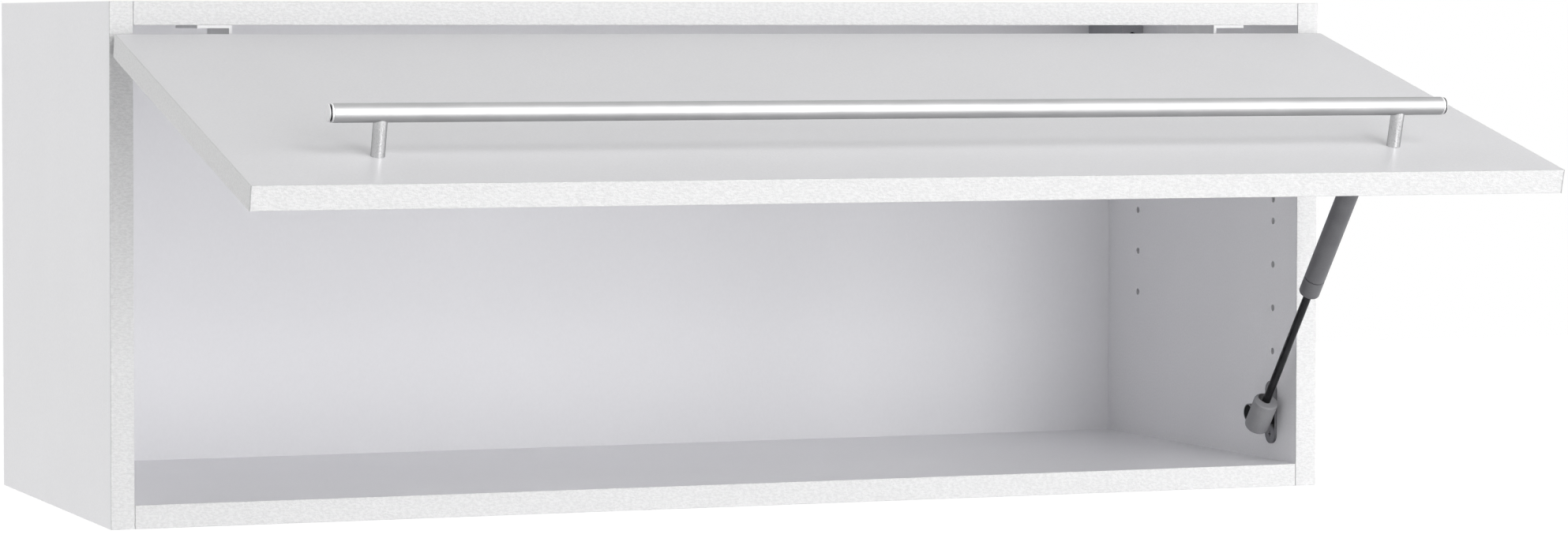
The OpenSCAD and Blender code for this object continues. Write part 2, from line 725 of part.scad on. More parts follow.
module strut_wall_plate() {
  color(plate_grey) difference() {
    bar(wall_x - strut_plate_t, strut_plate_t,
        lower_stud - [0, (strut_plate_l - strut_plate_w) / 2],
        lower_stud + [0, (strut_plate_l - strut_plate_w) / 2], strut_plate_w / 2, 0.995);
    rod_x(wall_x - strut_plate_t - cut, wall_x + cut, lower_stud, neck_d + 2 * snug);
    for (p = strut_plate_spots) at_side(p, strut_plate_t) screw_room(screw_l);
  }
}

module strut_plate_screws() {
  color(steel_grey) for (p = strut_plate_spots) at_side(p, strut_plate_t) screw(screw_l);
}

module strut_stud_base() {
  face = wall_x - strut_plate_t;
  color(near_black) difference() {
    box([face - stud_base_t, lower_stud[0] - stud_base_w / 2, lower_stud[1] - stud_base_h / 2],
        [face, lower_stud[0] + stud_base_w / 2, lower_stud[1] + stud_base_h / 2]);
    rod_x(face - stud_base_t - cut, face + cut, lower_stud, neck_d + 2 * snug);
  }
}

module strut_lower_stud() {
  color(steel_grey) {
    translate([strut_x, lower_stud[0], lower_stud[1]]) ball(ball_d);
    rod_x(strut_x, wall_x, lower_stud, neck_d);
  }
}

// Cup of the rod end with its rounded foot and bevelled rim, or the room for it
module cup_body(room = 0) {
  r = cup_d / 2 + room;
  foot = 3;
  rim = 1.2;
  low = cup_rise - cup_l;
  rotate_extrude() polygon(concat(
    [[0, low]],
    [for (a = [0 : 15 : 90]) [r - foot + foot * sin(a), low + foot - foot * cos(a)]],
    [[r, cup_rise - rim], [r - rim, cup_rise], [0, cup_rise]]));
}

module strut_lower_socket() {
  seat = 9.5;
  color(strut_grey) on_strut() difference() {
    union() {
      cup_body();
      difference() {
        rod_x(-barrel_in, barrel_out, [socket_offset, 0], barrel_d);
        rod_x(-barrel_in - cut, -barrel_in + plug_depth, [socket_offset, 0], plug_d + 2 * snug);
      }
    }
    translate([0, socket_offset, 0]) ball(ball_d + 2 * ball_fit);
    rod_x(0, cup_d, [socket_offset, 0], mouth_d);
    translate([0, cup_hole_back, seat]) cylinder(h = cup_rise, d = cup_hole_d);
    translate([0, 0, rod_seat - snug]) cylinder(h = cup_rise, d = rod_d + 2 * snug);
  }
}

module strut_socket_plug() {
  color(near_black) on_strut() difference() {
    rod_x(-barrel_in, -barrel_in + plug_depth, [socket_offset, 0], plug_d);
    cup_body(snug);
  }
}

module strut_rod() {
  color(steel_grey) on_strut() translate([0, 0, rod_seat])
    cylinder(h = rod_reach + rod_inside - rod_seat, d = rod_d);
}

module strut_piston() {
  top = rod_reach + rod_inside;
  seal_low = top - piston_l / 2 - seal_t / 2;
  color(zinc) on_strut() difference() {
    translate([0, 0, top - piston_l]) cylinder(h = piston_l, d = tube_bore - 2 * rod_fit);
    translate([0, 0, top - piston_l - cut]) cylinder(h = piston_l + 2 * cut, d = rod_d + 2 * snug);
    translate([0, 0, seal_low]) difference() {
      cylinder(h = seal_t, d = tube_d);
      translate([0, 0, -cut]) cylinder(h = seal_t + 2 * cut, d = tube_bore - 3);
    }
  }
}

module strut_piston_seal() {
  seal_low = rod_reach + rod_inside - piston_l / 2 - seal_t / 2;
  color(near_black) on_strut() translate([0, 0, seal_low]) difference() {
    cylinder(h = seal_t, d = tube_bore - rod_fit);
    translate([0, 0, -cut]) cylinder(h = seal_t + 2 * cut, d = tube_bore - 3);
  }
}

module strut_tube() {
  color(strut_grey) on_strut() difference() {
    translate([0, 0, rod_reach + guide_l]) cylinder(h = tube_end - rod_reach - guide_l, d = tube_d);
    translate([0, 0, rod_reach]) cylinder(h = tube_end, d = tube_bore);
  }
}

module strut_rod_guide() {
  bevel = 1.2;
  seam = 0.5;
  spigot = 0.8;
  color(strut_grey) on_strut() translate([0, 0, rod_reach]) difference() {
    union() {
      cylinder(h = bevel, d1 = tube_d - 2 * bevel, d2 = tube_d);
      translate([0, 0, bevel]) cylinder(h = guide_l - bevel - seam, d = tube_d);
      translate([0, 0, guide_l - seam]) cylinder(h = seam, d = tube_d - 1);
      translate([0, 0, guide_l]) cylinder(h = spigot, d = tube_bore - 2 * snug);
    }
    translate([0, 0, -cut]) cylinder(h = guide_l + spigot + 2 * cut, d = rod_d + 2 * rod_fit);
  }
}

module strut_upper_socket() {
  spigot = 4;
  color(strut_grey) on_strut() translate([0, 0, open_length]) difference() {
    union() {
      rod_x(-barrel_out, barrel_out + 1, [0, 0], barrel_d);
      translate([0, 0, -upper_neck_l]) cylinder(h = upper_neck_l, d = upper_neck_d);
      translate([0, 0, -upper_neck_l]) cylinder(h = socket_t, d = tube_d);
      translate([0, 0, -upper_neck_l - spigot])
        cylinder(h = spigot + cut, d = tube_bore - 2 * snug);
    }
    ball(ball_d + 2 * ball_fit);
    rod_x(-cup_d, 0, [0, 0], mouth_d);
  }
}

module strut_upper_stud() {
  color(steel_grey) on_strut() translate([0, 0, open_length]) {
    ball(ball_d);
    rod_x(-shoulder_in - shoulder_t, 0, [0, 0], neck_d);
    rod_x(-shoulder_in - shoulder_t, -shoulder_in, [0, 0], shoulder_d);
  }
}

module strut_flap_bracket() {
  lug_r = 7.5;
  rivet_t = 2;
  color(zinc) on_flap() difference() {
    union() {
      rod_x(strut_lug_x, strut_lug_x + bracket_t, upper_stud, 2 * lug_r);
      slab(strut_lug_x, bracket_t)
        polygon([[0, -strut_bracket_s[0]], upper_stud + [0, 0.97 * lug_r],
                 upper_stud - [0, 0.97 * lug_r], [0, -strut_bracket_s[1]]]);
      box([strut_lug_x - strut_bracket_w, 0, -strut_bracket_s[1]],
          [strut_lug_x + bracket_t, bracket_t, -strut_bracket_s[0]]);
      rod_x(strut_lug_x - rivet_t, strut_lug_x, upper_stud, shoulder_d);
    }
    for (s = strut_screw_s)
      at_flap(strut_screw_x, s, bracket_t) screw_room(screw_l);
  }
}

module strut_bracket_screws() {
  color(steel_grey) on_flap() for (s = strut_screw_s)
    at_flap(strut_screw_x, s, bracket_t) screw(screw_l);
}

side_panel_left();
side_panel_right();
top_panel();
bottom_panel();
back_panel();
carcass_edge_bands();
dowels();
cam_housings();
cam_bolts();
hanger_housing_left();
hanger_housing_right();
hanger_hook_left();
hanger_hook_right();
hanger_height_screws();
hinge_plate_left();
hinge_plate_right();
hinge_plate_screws();
plate_pivot_pins();
long_link_left();
long_link_right();
short_link_left();
short_link_right();
flap_bracket_left();
flap_bracket_right();
flap_bracket_screws();
flap_pivot_pins();
flap_panel();
flap_edge_bands();
handle_bar();
handle_end_caps();
handle_posts();
handle_screws();
strut_wall_plate();
strut_plate_screws();
strut_stud_base();
strut_lower_stud();
strut_lower_socket();
strut_socket_plug();
strut_rod();
strut_piston();
strut_piston_seal();
strut_tube();
strut_rod_guide();
strut_upper_socket();
strut_upper_stud();
strut_flap_bracket();
strut_bracket_screws();
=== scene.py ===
import json
import math
import bpy
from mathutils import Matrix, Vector


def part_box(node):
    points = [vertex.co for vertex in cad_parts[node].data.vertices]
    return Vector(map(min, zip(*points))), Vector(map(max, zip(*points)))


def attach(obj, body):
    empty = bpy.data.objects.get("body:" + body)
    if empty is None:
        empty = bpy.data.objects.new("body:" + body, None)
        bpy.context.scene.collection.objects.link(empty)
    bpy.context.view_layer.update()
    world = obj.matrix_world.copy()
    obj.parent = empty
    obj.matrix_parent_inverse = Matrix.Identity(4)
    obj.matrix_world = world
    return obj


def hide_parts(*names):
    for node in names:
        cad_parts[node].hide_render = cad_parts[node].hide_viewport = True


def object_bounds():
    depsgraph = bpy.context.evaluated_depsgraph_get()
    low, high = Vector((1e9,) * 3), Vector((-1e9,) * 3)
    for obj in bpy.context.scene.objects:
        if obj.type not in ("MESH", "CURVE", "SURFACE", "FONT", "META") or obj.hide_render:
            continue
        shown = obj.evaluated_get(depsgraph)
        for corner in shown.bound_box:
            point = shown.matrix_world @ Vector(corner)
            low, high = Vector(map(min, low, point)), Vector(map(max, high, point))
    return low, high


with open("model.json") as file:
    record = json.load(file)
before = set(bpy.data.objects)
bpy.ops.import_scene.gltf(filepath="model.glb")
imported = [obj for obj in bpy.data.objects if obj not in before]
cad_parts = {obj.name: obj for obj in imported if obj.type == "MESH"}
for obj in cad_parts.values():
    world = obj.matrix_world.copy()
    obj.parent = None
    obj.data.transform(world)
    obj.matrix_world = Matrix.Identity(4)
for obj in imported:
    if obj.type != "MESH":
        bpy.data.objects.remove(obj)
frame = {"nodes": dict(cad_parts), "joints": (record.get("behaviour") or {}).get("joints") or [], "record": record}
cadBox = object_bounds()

nodes = frame["nodes"]
joints = {joint["name"]: joint for joint in frame["joints"]}
bodies = frame["record"]["behaviour"]["bodies"]
bodyOf = {nodeName: body for body, members in bodies.items() for nodeName in members}
slotOf = {part["node"]: part["material_slot"] for part in frame["record"]["subparts"]}
print("frame loaded with", len(nodes), "nodes")

straight = 0.9   # a face looks along an axis when its normal's share there is above this
sideways = 0.3   # and across it when the share is below this
over = 0.001     # how far a cutter reaches past the piece
hair = 0.00002   # room between two parts that touch


# ways of shaping a piece

def keepOnly(piece):
    bpy.ops.object.select_all(action="DESELECT")
    piece.select_set(True)
    bpy.context.view_layer.objects.active = piece


def applyPlace():
    bpy.ops.object.transform_apply(location=True, rotation=True, scale=True)


def settle(name):
    # the new primitive gets its name, and its place goes into its mesh
    piece = bpy.context.object
    piece.name = piece.data.name = name
    applyPlace()
    return piece


def block(name, low, high):
    bpy.ops.object.select_all(action="DESELECT")
    low, high = Vector(low), Vector(high)
    bpy.ops.mesh.primitive_cube_add(size=1, location=(low + high) / 2, scale=high - low)
    return settle(name)


def rod(name, start, end, radius, sides=64):
    bpy.ops.object.select_all(action="DESELECT")
    start, end = Vector(start), Vector(end)
    turn = (end - start).to_track_quat("Z", "Y").to_euler()
    bpy.ops.mesh.primitive_cylinder_add(vertices=sides, radius=radius, depth=(end - start).length,
                                        location=(start + end) / 2, rotation=turn)
    return settle(name)


def turned(name, outline, sides=96):
    # a lathe shape on the Z axis: a ring is pulled up and resized through the (z, radius) pairs
    bpy.ops.object.select_all(action="DESELECT")
    height, radius = outline[0]
    closed = outline[0] == outline[-1]
    bpy.ops.mesh.primitive_circle_add(vertices=sides, radius=radius, location=(0, 0, height),
                                      fill_type="NOTHING" if closed else "NGON")
    piece = settle(name)
    bpy.ops.object.mode_set(mode="EDIT")
    bpy.ops.mesh.select_all(action="SELECT")
    for nextHeight, nextRadius in outline[1:]:
        step = {"value": (0, 0, nextHeight - height)}
        if closed:
            bpy.ops.mesh.extrude_edges_move(TRANSFORM_OT_translate=step)
        else:
            bpy.ops.mesh.extrude_region_move(TRANSFORM_OT_translate=step)
        grow = nextRadius / radius
        bpy.ops.transform.resize(value=(grow, grow, 1), center_override=(0, 0, nextHeight))
        height, radius = nextHeight, nextRadius
    bpy.ops.mesh.select_all(action="SELECT")
    bpy.ops.mesh.remove_doubles(threshold=1e-6)
    bpy.ops.mesh.normals_make_consistent(inside=False)
    bpy.ops.object.mode_set(mode="OBJECT")
    return piece


def lieAlong(piece, side):
    # lays a turned piece along X, its Z end towards that side
    keepOnly(piece)
    piece.rotation_euler = (0, side * math.pi / 2, 0)
    applyPlace()
    return piece


def place(piece, spot, turn=0):
    # moves a piece drawn about the origin to its spot, turned about X
    keepOnly(piece)
    piece.location = spot
    piece.rotation_euler = (turn, 0, 0)
    applyPlace()
    return piece


def useModifier(piece, kind, **settings):
    keepOnly(piece)
    modifier = piece.modifiers.new(kind.title(), kind)
    for key, value in settings.items():
        setattr(modifier, key, value)
    bpy.ops.object.modifier_apply(modifier=modifier.name)


def roundPicked(piece, picked, width, segments=3):
    # rounds only the edges whose two ends pass the test
    keepOnly(piece)
    bpy.ops.object.mode_set(mode="EDIT")
    bpy.ops.mesh.select_mode(type="EDGE")
    bpy.ops.mesh.select_all(action="DESELECT")
    bpy.ops.object.mode_set(mode="OBJECT")
    corners = piece.data.vertices
    for edge in piece.data.edges:
        edge.select = all(picked(corners[corner].co) for corner in edge.vertices)
    bpy.ops.object.mode_set(mode="EDIT")
    bpy.ops.mesh.bevel(offset=width, segments=segments, affect="EDGES")
    bpy.ops.object.mode_set(mode="OBJECT")


def combine(piece, others, operation):
    for other in others:
        useModifier(piece, "BOOLEAN", operation=operation, object=other, solver="EXACT")
        bpy.data.objects.remove(other)


def smooth(piece, angle=35):
    keepOnly(piece)
    bpy.ops.object.shade_smooth_by_angle(angle=math.radians(angle))
    useModifier(piece, "WEIGHTED_NORMAL", keep_sharp=True)
    return piece


def joinAll(name, pieces):
    bpy.ops.object.select_all(action="DESELECT")
    for piece in pieces:
        piece.select_set(True)
    bpy.context.view_layer.objects.active = pieces[0]
    bpy.ops.object.join()
    joined = bpy.context.object
    joined.name = joined.data.name = name
    return joined


def twoFinishes(piece, first, second, picked):
    # the picked faces show the second finish
    piece.data.materials.append(finishes[first])
    piece.data.materials.append(finishes[second])
    for face in piece.data.polygons:
        if picked(face):
            face.material_index = 1
    return piece


def finishPiece(piece, body, slotName, finish, *replaced):
    if not piece.data.materials:
        piece.data.materials.append(finishes[finish])
    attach(piece, body)
    if replaced:
        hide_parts(*replaced)
    return piece


# shader maths

class Wire:
    # one output socket that adds Math nodes when numbers or other wires meet it
    def __init__(self, tree, socket=None):
        self.tree = tree
        self.socket = socket

    def node(self, kind, settings=None, inputs=None, output=0):
        made = self.tree.nodes.new(kind)
        for key, value in (settings or {}).items():
            if key == "stops":
                ramp = made.color_ramp
                while len(ramp.elements) < len(value):
                    ramp.elements.new(0.5)
                for element, (position, shade) in zip(ramp.elements, value):
                    element.position = position
                    element.color = (*shade, 1)
            else:
                setattr(made, key, value)
        for key, value in (inputs or {}).items():
            if isinstance(value, Wire):
                self.tree.links.new(value.socket, made.inputs[key])
            else:
                made.inputs[key].default_value = value
        return Wire(self.tree, made.outputs[output] if made.outputs else None)

    def calc(self, operation, first, second):
        return self.node("ShaderNodeMath", {"operation": operation}, {0: first, 1: second})

    def __add__(self, other):
        return self.calc("ADD", self, other)

    def __radd__(self, other):
        return self.calc("ADD", other, self)

    def __sub__(self, other):
        return self.calc("SUBTRACT", self, other)

    def __rsub__(self, other):
        return self.calc("SUBTRACT", other, self)

    def __mul__(self, other):
        return self.calc("MULTIPLY", self, other)

    def __rmul__(self, other):
        return self.calc("MULTIPLY", other, self)


def startFinish(name):
    material = bpy.data.materials.new(name)
    material.use_nodes = True
    material.node_tree.nodes.clear()
    start = Wire(material.node_tree)
    return material, start, start.node("ShaderNodeTexCoord", output="Object")


def grain(point, size, stretch=(1, 1, 1), detail=2.0, rough=0.5):
    # noise whose features are about size metres wide, longer where stretch is smaller
    spot = point.node("ShaderNodeVectorMath", {"operation": "MULTIPLY"}, {0: point, 1: stretch})
    return point.node("ShaderNodeTexNoise", {"noise_dimensions": "3D"},
                      {"Vector": spot, "Scale": 1 / size, "Detail": detail, "Roughness": rough})


def cells(point, size, output):
    return point.node("ShaderNodeTexVoronoi", {"feature": "F1"},
                      {"Vector": point, "Scale": 1 / size, "Randomness": 1}, output=output)


def mixed(first, second, share):
    return first * share + second * (1 - share)


def between(amount, first, second):
    return amount.node("ShaderNodeMix", {"data_type": "RGBA"},
                       {0: amount, 6: (*first, 1) if isinstance(first, tuple) else first,
                        7: (*second, 1) if isinstance(second, tuple) else second}, output=2)


def spread(amount, low, high, to=(0, 1)):
    return amount.node("ShaderNodeMapRange", {"clamp": True},
                       {"Value": amount, "From Min": low, "From Max": high,
                        "To Min": to[0], "To Max": to[1]})


def tint(noise, deep, pale, reach=0.15):
    # from the deep to the pale colour, while the noise runs that far to both sides of its middle
    return between(spread(noise, 0.5 - reach, 0.5 + reach), deep, pale)


def gloss(noise, rough, reach=0.2):
    return spread(noise, 0.5 - reach, 0.5 + reach, rough)


def relief(height, depth):
    return height.node("ShaderNodeBump",
                       inputs={"Height": height, "Distance": depth, "Strength": 1.0})


def closeFinish(material, start, colour, roughness, normal, metal=0.0, shine=0.5):
    surface = start.node("ShaderNodeBsdfPrincipled", inputs={
        "Base Color": colour, "Roughness": roughness, "Normal": normal,
        "Metallic": metal, "Specular IOR Level": shine})
    start.node("ShaderNodeOutputMaterial", inputs={"Surface": surface})
    return material


# finishes: sizes and depths in metres, the rough pairs from the glossiest to the dullest spots

boardLook = {"pale": (0.930, 0.928, 0.947), "deep": (0.876, 0.874, 0.894), "rough": (0.30, 0.42),
             "pearl": 0.0014, "fine": 0.0005, "cloud": 0.09, "depth": 0.00018}


def coatedBoard():
    look = boardLook
    material, start, point = startFinish("coatedBoard")
    pearl = grain(point, look["pearl"], detail=1)
    fine = grain(point, look["fine"], detail=1)
    cloud = grain(point, look["cloud"], detail=1)
    height = mixed(pearl, fine, 0.75)
    return closeFinish(material, start, tint(mixed(height, cloud, 0.8), look["deep"], look["pale"]),
                       gloss(pearl, look["rough"]), relief(height, look["depth"]))


bandLook = {"pale": (0.79, 0.79, 0.794), "deep": (0.705, 0.705, 0.71), "rough": (0.36, 0.5),
            "pebble": 0.0013, "fine": 0.00052, "depth": 0.00055}


def edgeBand():
    # fine pebbles, longer across than high
    look = bandLook
    material, start, point = startFinish("edgeBand")
    pebble = grain(point, look["pebble"], (0.45, 1, 1), detail=2)
    fine = grain(point, look["fine"], (0.6, 1, 1), detail=1)
    height = mixed(pebble, fine, 0.7)
    return closeFinish(material, start, tint(height, look["deep"], look["pale"], 0.1),
                       gloss(pebble, look["rough"]), relief(height, look["depth"]))


chipLook = {"dark": (0.30, 0.19, 0.10), "mid": (0.52, 0.38, 0.23), "light": (0.70, 0.56, 0.38),
            "rough": (0.8, 0.95), "chip": 0.0035, "dust": 0.0007, "depth": 0.0003}


def rawChipboard():
    look = chipLook
    material, start, point = startFinish("rawChipboard")
    cell = cells(point, look["chip"], "Color")
    chips = start.node("ShaderNodeSeparateColor", inputs={"Color": cell})
    dust = grain(point, look["dust"], detail=3)
    stops = [(0.1, look["dark"]), (0.5, look["mid"]), (0.9, look["light"])]
    tone = start.node("ShaderNodeValToRGB", {"stops": stops}, {"Fac": mixed(chips, dust, 0.7)})
    return closeFinish(material, start, tone, gloss(dust, look["rough"]),
                       relief(mixed(chips, dust, 0.5), look["depth"]))


backLook = {"pale": (0.910, 0.908, 0.932), "deep": (0.888, 0.886, 0.910), "rough": (0.42, 0.55),
            "fibre": 0.0016, "cloud": 0.12, "depth": 0.00005}


def backFace():
    # white lacquered face of the hardboard
    look = backLook
    material, start, point = startFinish("whiteHardboard")
    fibre = grain(point, look["fibre"], (1, 1, 0.6), detail=3)
    cloud = grain(point, look["cloud"], detail=1)
    return closeFinish(material, start, tint(mixed(fibre, cloud, 0.6), look["deep"], look["pale"]),
                       gloss(fibre, look["rough"]), relief(fibre, look["depth"]))


hardboardLook = {"pale": (0.42, 0.28, 0.16), "deep": (0.25, 0.15, 0.08), "rough": (0.7, 0.9),
                 "fibre": 0.0022, "speck": 0.0006, "depth": 0.00025}


def hardboard():
    # bare rear face of the hardboard
    look = hardboardLook
    material, start, point = startFinish("bareHardboard")
    fibre = grain(point, look["fibre"], (0.6, 1, 1), detail=5, rough=0.65)
    speck = grain(point, look["speck"], detail=2)
    return closeFinish(material, start, tint(mixed(fibre, speck, 0.7), look["deep"], look["pale"]),
                       gloss(speck, look["rough"]), relief(mixed(fibre, speck, 0.6), look["depth"]))


beechLook = {"pale": (0.74, 0.55, 0.35), "deep": (0.55, 0.36, 0.19), "rough": (0.55, 0.7),
             "streak": 0.0009, "ray": 0.0005, "depth": 0.0001}


def beech():
    # the dowels lie along X, and so does their grain
    look = beechLook
    material, start, point = startFinish("beechWood")
    streak = grain(point, look["streak"], (0.06, 1, 1), detail=3)
    ray = grain(point, look["ray"], (0.3, 1, 1), detail=1)
    return closeFinish(material, start, tint(mixed(streak, ray, 0.7), look["deep"], look["pale"]),
                       gloss(ray, look["rough"]), relief(streak, look["depth"]))


metalLook = {"crystal": 1 / 700, "cloud": 0.006, "scratch": 0.0005, "depth": 0.00004}


def platedMetal(name, deep, pale, rough):
    # zinc plated and blackened steel: faint crystals, fine scratches and clouded gloss
    look = metalLook
    material, start, point = startFinish(name)
    crystal = cells(point, look["crystal"], "Distance")
    cloud = grain(point, look["cloud"], detail=3)
    scratch = grain(point, look["scratch"], (0.08, 1, 0.4), detail=2)
    return closeFinish(material, start, tint(mixed(cloud, scratch, 0.6), deep, pale),
                       gloss(mixed(cloud, scratch, 0.5), rough, 0.15),
                       relief(mixed(crystal, scratch, 0.4), look["depth"]), metal=1.0)


# the edge colour is painted shade: the base colour at the silhouettes, standing in for the dark surroundings that
# they reflect
satinLook = {"brush": 0.00035, "cloud": 0.02, "depth": 0.00002, "edge": (0.08, 0.08, 0.085),
             "paintedShadeFrom": 0.45, "paintedShadeTo": 0.95}


def satinAluminium(name, stretch, deep, pale, rough, shade=0.3):
    # anodised bar, posts and caps: brush lines, and painted shade: the base colour darkens towards the
    # silhouettes, standing in for the dark surroundings that the edges reflect; shade sets how much
    look = satinLook
    material, start, point = startFinish(name)
    brush = grain(point, look["brush"], stretch, detail=2)
    cloud = grain(point, look["cloud"], detail=1)
    facingForPaintedShade = start.node("ShaderNodeLayerWeight", inputs={"Blend": 0.5}, output="Facing")
    # painted shade: the edge colour takes over as the surface turns away from the camera
    edge = spread(facingForPaintedShade, look["paintedShadeFrom"], look["paintedShadeTo"]) * shade
    colour = between(edge, tint(mixed(brush, cloud, 0.6), deep, pale), look["edge"])
    return closeFinish(material, start, colour, gloss(brush, rough), relief(brush, look["depth"]),
                       metal=1.0)


paintLook = {"peel": 0.0009, "cloud": 0.015, "rough": (0.38, 0.5), "shine": 0.35, "depth": 0.00006}


def strutPaint(name, deep, pale):
    look = paintLook
    material, start, point = startFinish(name)
    peel = grain(point, look["peel"], detail=2)
    cloud = grain(point, look["cloud"], detail=2)
    return closeFinish(material, start, tint(mixed(peel, cloud, 0.4), deep, pale),
                       gloss(peel, look["rough"]), relief(peel, look["depth"]), shine=look["shine"])


rodLook = {"pale": (0.024, 0.024, 0.027), "deep": (0.012, 0.012, 0.013), "rough": (0.12, 0.2),
           "metal": 0.7, "shine": 0.3, "ring": 0.0004, "cloud": 0.008, "depth": 0.00001}


def rodSteel():
    # hardened piston rod, almost black, with fine grinding rings
    look = rodLook
    material, start, point = startFinish("hardenedRod")
    ring = grain(point, look["ring"], (0.1, 0.6, 1), detail=1)
    cloud = grain(point, look["cloud"], detail=2)
    return closeFinish(material, start, tint(mixed(cloud, ring, 0.5), look["deep"], look["pale"]),
                       gloss(ring, look["rough"]), relief(ring, look["depth"]),
                       metal=look["metal"], shine=look["shine"])


def moulded(name, deep, pale, rough, grit=0.0006, depth=0.00006, shine=0.5, cloudSize=0.01):
    material, start, point = startFinish(name)
    spark = grain(point, grit, detail=2)
    cloud = grain(point, cloudSize, detail=2)
    return closeFinish(material, start, tint(mixed(spark, cloud, 0.5), deep, pale),
                       gloss(spark, rough), relief(spark, depth), shine=shine)


finishes = {
    "board": coatedBoard(), "band": edgeBand(), "chip": rawChipboard(), "back": backFace(),
    "hardboard": hardboard(), "beech": beech(), "rod": rodSteel(),
    "zinc": platedMetal("zincPlate", (0.60, 0.61, 0.63), (0.74, 0.75, 0.77), (0.26, 0.42)),
    "steel": platedMetal("greySteel", (0.34, 0.34, 0.36), (0.46, 0.46, 0.48), (0.25, 0.4)),
    "plate": platedMetal("greyPlate", (0.17, 0.17, 0.18), (0.23, 0.23, 0.242), (0.34, 0.48)),
    # blackened steel for the height screws; it also paints the shade in the groove of the handle caps
    "darkSteel": platedMetal("blackenedSteel", (0.03, 0.03, 0.033), (0.06, 0.06, 0.064),
                             (0.4, 0.55)),
    # the posts and caps are lighter copies of the bar's aluminium: painted light for the highlight down the posts
    # and the bright reflection on the cap ends
    "bar": satinAluminium("satinAluminium", (0.01, 1, 1), (0.44, 0.44, 0.445),
                          (0.50, 0.50, 0.505), (0.42, 0.5)),
    "post": satinAluminium("satinAluminiumPost", (1, 1, 0.06), (0.56, 0.56, 0.565),
                           (0.64, 0.64, 0.645), (0.24, 0.32), shade=0.75),
    "cap": satinAluminium("satinAluminiumCap", (1, 1, 1), (0.74, 0.74, 0.745),
                          (0.82, 0.82, 0.825), (0.4, 0.5), shade=0.0),
    "paint": strutPaint("strutPaint", (0.125, 0.125, 0.135), (0.16, 0.16, 0.17)),
    "cupPaint": strutPaint("cupPaint", (0.25, 0.25, 0.262), (0.30, 0.30, 0.312)),
    # painted shade: near black for the walls of the shelf holes and the screw recesses, standing in for the shade
    # inside them
    "paintedHoleShade": moulded("drilledWall", (0.045, 0.044, 0.044), (0.085, 0.083, 0.082), (0.8, 0.9),
                       grit=0.0008, depth=0.0002, shine=0.1),
    # grey for the strips' cut sides and ends, darker than the band: dark seam lines along its edges, and painted
    # shade in the joints between strips
    "cut": moulded("bandCutEdge", (0.44, 0.44, 0.445), (0.54, 0.54, 0.545), (0.5, 0.65),
                   grit=0.0005),
    "powder": moulded("whitePowder", (0.80, 0.80, 0.81), (0.86, 0.86, 0.87), (0.36, 0.48),
                      grit=0.0008, depth=0.00008),
    "black": moulded("blackPlastic", (0.005, 0.005, 0.006), (0.012, 0.012, 0.013), (0.5, 0.65),
                     shine=0.08),
    "hanger": moulded("hangerPlastic", (0.36, 0.36, 0.385), (0.43, 0.43, 0.455), (0.42, 0.56)),
    "rubber": moulded("sealRubber", (0.012, 0.012, 0.012), (0.025, 0.025, 0.025), (0.6, 0.75)),
}
print("finishes made:", len(finishes))


# carcass

carcass = {"boardRound": 0.0004, "holeRadius": 0.0025, "holeDepth": 0.011,
           "holeHeights": (0.128, 0.160, 0.192), "frontHoleHeights": (0.096, 0.208),
           "frontRow": 0.037, "rowSpan": 0.224, "grooveDepth": 0.008, "grooveRoom": 0.0001,
           "camRadius": 0.00752, "camDepth": 0.01252, "camFromEnd": 0.024, "camFromEdge": 0.055}

backLow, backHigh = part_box("back_panel")
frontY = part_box("carcass_edge_bands")[0].y


def rearChipboard(piece):
    # the rear edges at the wall are left raw
    return twoFinishes(piece, "board", "chip", lambda face: face.normal.y > straight
                       and face.center.y > -carcass["boardRound"])


def backGroove(lowX, lowZ, highX, highZ):
    room = carcass["grooveRoom"]
    return block("cutter", (lowX, backLow.y - room, lowZ), (highX, backHigh.y + room, highZ))


def sidePanel(side, nodeName):
    look = carcass
    low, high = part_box(nodeName)
    piece = block("sidePanel" + side, low, high)
    roundPicked(piece, lambda corner: corner.y > -over, look["boardRound"], segments=2)
    rearChipboard(piece)
    inner, out = (low.x, 1) if side == "Right" else (high.x, -1)
    frontRow = frontY + look["frontRow"]
    rows = (frontRow, frontRow + look["rowSpan"])
    spots = [(y, z) for y in rows for z in look["holeHeights"]]
    spots += [(frontRow, z) for z in look["frontHoleHeights"]]
    cutters = []
    for y, z in spots:
        cutter = rod("cutter", (inner - out * over, y, z), (inner + out * look["holeDepth"], y, z),
                     look["holeRadius"], sides=32)
        # the hole's wall takes the near-black finish: painted shade
        cutter.data.materials.append(finishes["paintedHoleShade"])
        cutters.append(cutter)
    ends = sorted((inner - out * over, inner + out * look["grooveDepth"]))
    cutters.append(backGroove(ends[0], backLow.z, ends[1], backHigh.z))
    combine(piece, cutters, "DIFFERENCE")
    return finishPiece(smooth(piece), "carcass", "coated_board", "board", nodeName)


def deckPanel(name, nodeName, camsUp):
    # the cams sit in the outer face, the groove for the back panel is in the inner one
    look = carcass
    low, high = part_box(nodeName)
    piece = rearChipboard(block(name, low, high))
    outer, inner, inward = (high.z, low.z, -1) if camsUp else (low.z, high.z, 1)
    cutters = []
    for x in (low.x + look["camFromEnd"], high.x - look["camFromEnd"]):
        for y in (frontY + look["camFromEdge"], -look["camFromEdge"]):
            cutter = rod("cutter", (x, y, outer - inward * over),
                         (x, y, outer + inward * look["camDepth"]), look["camRadius"], sides=48)
            cutter.data.materials.append(finishes["chip"])
            cutters.append(cutter)
    ends = sorted((inner + inward * over, inner - inward * look["grooveDepth"]))
    cutters.append(backGroove(low.x - over, ends[0], high.x + over, ends[1]))
    combine(piece, cutters, "DIFFERENCE")
    return finishPiece(smooth(piece), "carcass", "coated_board", "board", nodeName)


